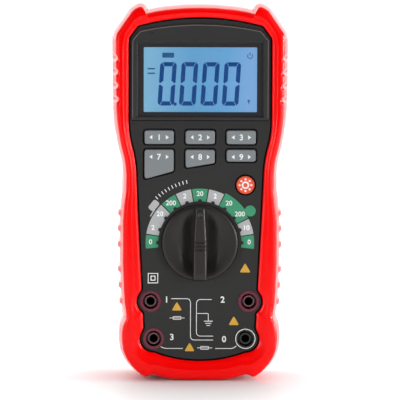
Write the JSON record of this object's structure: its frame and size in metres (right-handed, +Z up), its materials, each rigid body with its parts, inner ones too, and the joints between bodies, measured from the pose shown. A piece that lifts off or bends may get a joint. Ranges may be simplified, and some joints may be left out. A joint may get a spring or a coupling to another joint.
{
  "type": "digital multimeter",
  "caption": "Handheld digital multimeter in a rubber holster, with a back-lit display, push keys, a rotary range selector, shrouded test jacks, a tilt stand and a battery door",
  "frame": {"origin": "centre of the bounding box's underside, where the meter stands on its lower end", "axes": "+Z up the meter towards the display, +X to the user's right, -Y out of the face towards the user"},
  "size_m": [0.0898, 0.056, 0.1905],
  "materials": {
    "black_case": "fine textured moulded plastic",
    "red_rubber": "smooth satin overmoulded rubber",
    "clear_window": "clear glossy acrylic",
    "lcd_glass": "liquid crystal glass, blue back light",
    "white_plastic": "plain moulded plastic",
    "light_guide": "clear light guide",
    "zebra_rubber": "layered conductive rubber",
    "grey_key": "satin keycap",
    "orange_key": "translucent satin keycap",
    "pale_rubber": "soft silicone",
    "black_knob": "satin moulded plastic",
    "brass": "turned and nickel flashed",
    "steel": "zinc plated",
    "green_board": "solder mask",
    "fuse_ceramic": "ceramic with plated caps",
    "chip_black": "moulded epoxy",
    "capacitor_sleeve": "shrink sleeve",
    "blue_epoxy": "dipped epoxy",
    "copper": "bare alloy wire",
    "battery_skin": "printed metal jacket",
    "black_insert": "polished moulded plastic",
    "red_insert": "polished moulded plastic"
  },
  "bodies": {
    "case": {"front_case": "black_case", "rear_case": "black_case", "holster": "red_rubber", "display_bezel": "black_case", "display_window": "clear_window", "lcd_glass": "lcd_glass", "lcd_frame": "white_plastic", "backlight_plate": "light_guide", "lcd_connectors": "zebra_rubber", "keypad_mat": "pale_rubber", "circuit_board": "green_board", "high_current_fuse": "fuse_ceramic", "milliamp_fuse": "fuse_ceramic", "fuse_clips": "brass", "measuring_chips": "chip_black", "capacitors": "capacitor_sleeve", "buzzer": "chip_black", "surge_absorbers": "blue_epoxy", "current_shunt": "copper", "battery": "battery_skin", "battery_contacts": "steel", "terminal_plate": "chip_black", "case_screws": "steel", "board_screws": "steel", "current_jack_collar": "red_insert", "current_jack_shroud": "black_insert", "current_jack_tube": "brass", "voltage_jack_collar": "red_insert", "voltage_jack_shroud": "black_insert", "voltage_jack_tube": "brass", "milliamp_jack_collar": "red_insert", "milliamp_jack_shroud": "black_insert", "milliamp_jack_tube": "brass", "common_jack_collar": "black_insert", "common_jack_shroud": "black_insert", "common_jack_tube": "brass"},
    "knob": {"selector_knob": "black_knob", "selector_rotor": "white_plastic", "rotor_contacts": "brass", "detent_balls": "steel", "detent_springs": "steel"},
    "function_button": {"function_key": "grey_key"},
    "relative_button": {"relative_key": "grey_key"},
    "minmax_button": {"minmax_key": "grey_key"},
    "range_button": {"range_key": "grey_key"},
    "frequency_button": {"frequency_key": "grey_key"},
    "hold_button": {"hold_key": "grey_key"},
    "backlight_button": {"backlight_key": "orange_key"},
    "stand": {"tilt_stand": "black_case"},
    "door": {"battery_door": "black_case", "battery_pad": "pale_rubber", "door_screws": "steel"}
  },
  "joints": [
    {"name": "selector_turn", "type": "hinge", "parent": "case", "child": "knob", "pos_m": [0, -0.018, 0.0698], "axis": [0, 1, 0], "range_deg": [-90, 90]},
    {"name": "function_press", "type": "slide", "parent": "case", "child": "function_button", "axis": [0, 1, 0], "range_m": [0, 0.001], "stiffness_N_per_m": 400},
    {"name": "relative_press", "type": "slide", "parent": "case", "child": "relative_button", "axis": [0, 1, 0], "range_m": [0, 0.001], "stiffness_N_per_m": 400},
    {"name": "minmax_press", "type": "slide", "parent": "case", "child": "minmax_button", "axis": [0, 1, 0], "range_m": [0, 0.001], "stiffness_N_per_m": 400},
    {"name": "range_press", "type": "slide", "parent": "case", "child": "range_button", "axis": [0, 1, 0], "range_m": [0, 0.001], "stiffness_N_per_m": 400},
    {"name": "frequency_press", "type": "slide", "parent": "case", "child": "frequency_button", "axis": [0, 1, 0], "range_m": [0, 0.001], "stiffness_N_per_m": 400},
    {"name": "hold_press", "type": "slide", "parent": "case", "child": "hold_button", "axis": [0, 1, 0], "range_m": [0, 0.001], "stiffness_N_per_m": 400},
    {"name": "backlight_press", "type": "slide", "parent": "case", "child": "backlight_button", "axis": [0, 1, 0], "range_m": [0, 0.001], "stiffness_N_per_m": 400},
    {"name": "stand_swing", "type": "hinge", "parent": "case", "child": "stand", "pos_m": [0, 0.024, 0.126], "axis": [1, 0, 0], "range_deg": [0, 55]},
    {"name": "door_lift", "type": "slide", "parent": "case", "child": "door", "axis": [0, 1, 0], "range_m": [0, 0.018]}
  ]
}
